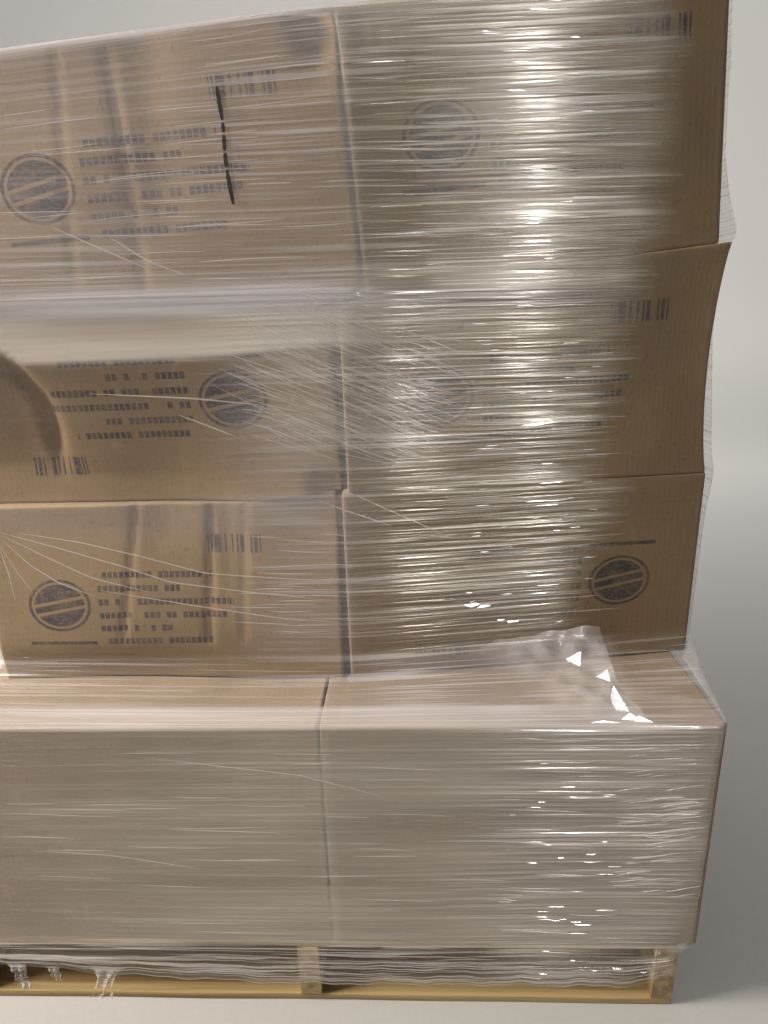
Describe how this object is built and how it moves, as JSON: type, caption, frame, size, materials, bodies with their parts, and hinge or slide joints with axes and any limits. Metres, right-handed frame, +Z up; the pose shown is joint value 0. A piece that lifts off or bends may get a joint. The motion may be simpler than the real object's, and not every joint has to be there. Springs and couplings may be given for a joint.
{
  "type": "shrink wrapped pallet load",
  "caption": "Cartons stacked on a wooden stringer pallet and wrapped in clear stretch film, with a wider plain bottom layer and smaller printed cartons above.",
  "frame": {"origin": "on the floor under the middle of the pallet, which is also the middle of its underside", "axes": "+X to the right across the front, +Y from the front to the back along the stringers, +Z up"},
  "size_m": [1.065, 1.224, 1.2851],
  "materials": {
    "pallet_wood": "rough sawn",
    "plain_carton": "matt corrugated board",
    "printed_carton": "matt corrugated board with blue black print",
    "stretch_film": "clear glossy film, crinkled"
  },
  "bodies": {
    "root": {"base_carton_left_back": "plain_carton", "base_carton_left_front": "plain_carton", "base_carton_left_middle": "plain_carton", "base_carton_right_back": "plain_carton", "base_carton_right_front": "plain_carton", "base_carton_right_middle": "plain_carton", "bottom_board_back_lead": "pallet_wood", "bottom_board_front_lead": "pallet_wood", "bottom_board_inner_1": "pallet_wood", "bottom_board_inner_2": "pallet_wood", "bottom_board_inner_3": "pallet_wood", "carton_lower_left_back": "printed_carton", "carton_lower_left_front": "printed_carton", "carton_lower_left_middle": "printed_carton", "carton_lower_right_back": "printed_carton", "carton_lower_right_front": "printed_carton", "carton_lower_right_middle": "printed_carton", "carton_middle_left_back": "printed_carton", "carton_middle_left_front": "printed_carton", "carton_middle_left_middle": "printed_carton", "carton_middle_right_back": "printed_carton", "carton_middle_right_front": "printed_carton", "carton_middle_right_middle": "printed_carton", "carton_top_left_back": "printed_carton", "carton_top_left_front": "printed_carton", "carton_top_left_middle": "printed_carton", "carton_top_right_back": "printed_carton", "carton_top_right_front": "printed_carton", "carton_top_right_middle": "printed_carton", "deck_board_back_lead": "pallet_wood", "deck_board_front_lead": "pallet_wood", "deck_board_inner_1": "pallet_wood", "deck_board_inner_2": "pallet_wood", "deck_board_inner_3": "pallet_wood", "deck_board_inner_4": "pallet_wood", "deck_board_inner_5": "pallet_wood", "stretch_film": "stretch_film", "stringer_centre": "pallet_wood", "stringer_left": "pallet_wood", "stringer_right": "pallet_wood"}
  },
  "joints": []
}
